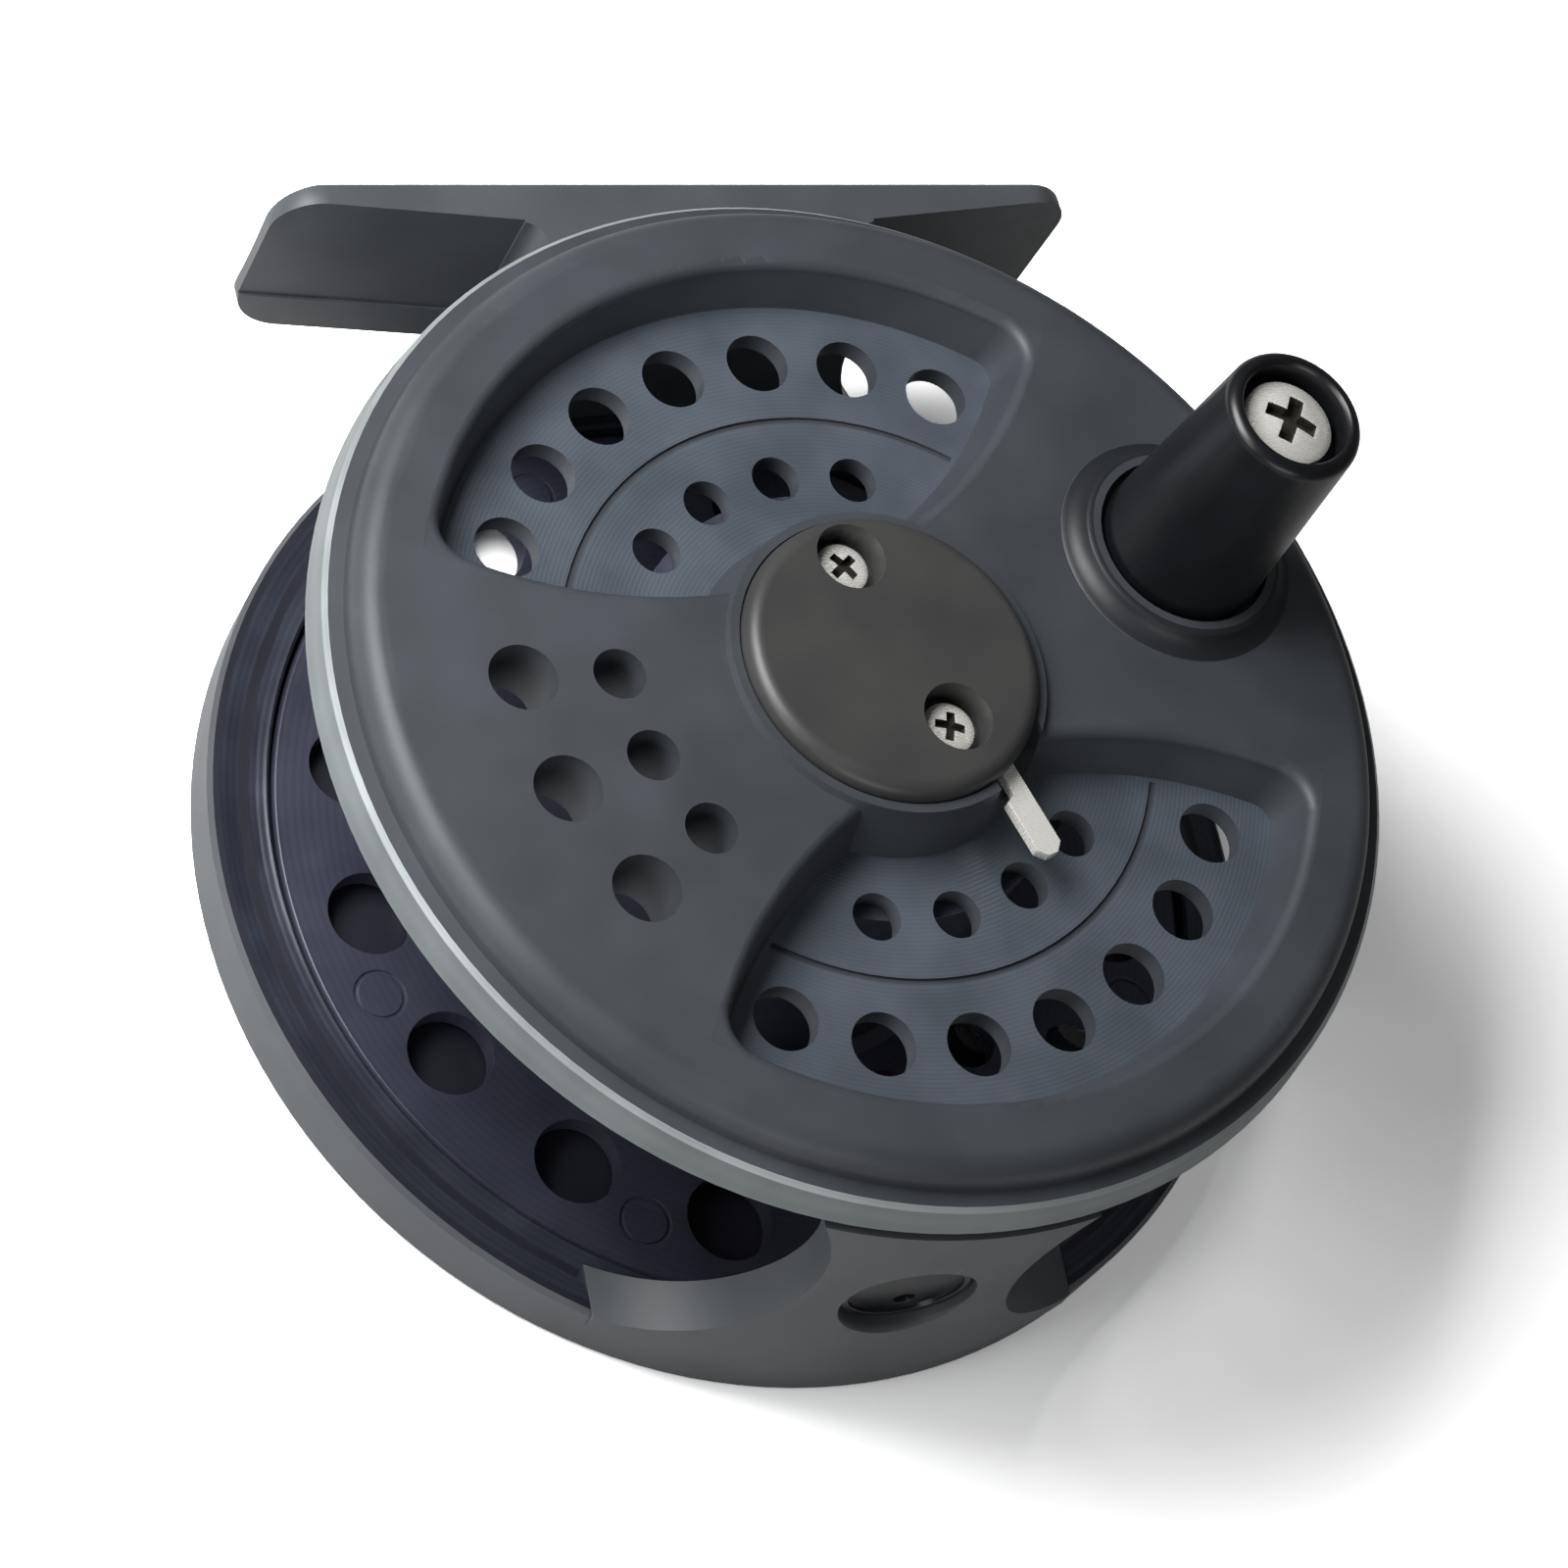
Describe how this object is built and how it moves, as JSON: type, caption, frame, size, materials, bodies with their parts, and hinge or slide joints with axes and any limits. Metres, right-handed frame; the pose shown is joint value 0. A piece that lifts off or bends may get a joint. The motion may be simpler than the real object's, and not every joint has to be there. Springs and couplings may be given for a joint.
{
  "type": "fly reel",
  "caption": "Small single-action fly reel with a perforated spool, quick-release latch, tapered winding handle and click check on a caged frame with a rod foot.",
  "frame": {"origin": "centre of the flat back face the reel rests on, on the spindle axis", "axes": "+Z along the spindle towards the handle side, +Y towards the reel foot, +X along the foot"},
  "size_m": [0.0794, 0.0838, 0.0509],
  "materials": {
    "cast_slate": "satin",
    "frame_black": "satin",
    "drum_black": "semi-gloss",
    "cap_black": "satin",
    "grip_black": "satin",
    "steel": "satin",
    "spring_steel": "satin",
    "brass": "machined",
    "black_plastic": "matte",
    "nylon": "matte"
  },
  "bodies": {
    "frame": {"frame_plate": "frame_black", "guard_pillar": "frame_black", "foot_pillar": "frame_black", "frame_screws": "steel", "hook_keeper": "black_plastic", "reel_foot": "frame_black", "foot_screws": "steel", "spindle": "steel", "spindle_washer": "steel", "spindle_nut": "steel", "nut_cover": "black_plastic", "pawl_post": "steel"},
    "pawl": {"click_pawl": "steel"},
    "adjuster": {"click_knob": "steel", "spring_holder": "brass", "holder_screw": "steel", "pawl_spring": "spring_steel"},
    "spool": {"spool_face": "cast_slate", "spool_drum": "drum_black", "drum_screws": "steel", "spool_bush": "brass", "click_gear": "brass", "lever_post": "steel", "lever_spring": "spring_steel", "latch_cap": "cap_black", "cap_screws": "steel", "handle_stud": "steel", "stud_washer": "nylon", "handle_screw": "steel"},
    "latch_lever": {"release_lever": "steel"},
    "grip": {"handle_grip": "grip_black"}
  },
  "joints": [
    {"name": "spool_spin", "type": "hinge", "parent": "frame", "child": "spool", "pos_m": [0, 0, 0.015], "axis": [0, 0, 1], "continuous": true},
    {"name": "handle_spin", "type": "hinge", "parent": "spool", "child": "grip", "pos_m": [0.02515, 0.00769, 0.04], "axis": [0, 0, 1], "continuous": true},
    {"name": "latch_release", "type": "hinge", "parent": "spool", "child": "latch_lever", "pos_m": [0.0041, 0.00711, 0.0315], "axis": [0, 0, 1], "range_deg": [0, 6], "stiffness_Nm_per_rad": 0.02, "springref_deg": -5.73, "deforming": ["lever_spring"]},
    {"name": "pawl_swing", "type": "hinge", "parent": "frame", "child": "pawl", "pos_m": [-0.0115, -0.0002, 0.0072], "axis": [0, 0, 1], "range_deg": [-8, 8], "stiffness_Nm_per_rad": 0.01},
    {"name": "check_adjust", "type": "hinge", "parent": "frame", "child": "adjuster", "pos_m": [-0.00592, -0.00986, 0.003], "axis": [0, 0, 1], "range_deg": [-20, 20], "deforming": ["pawl_spring"]}
  ]
}
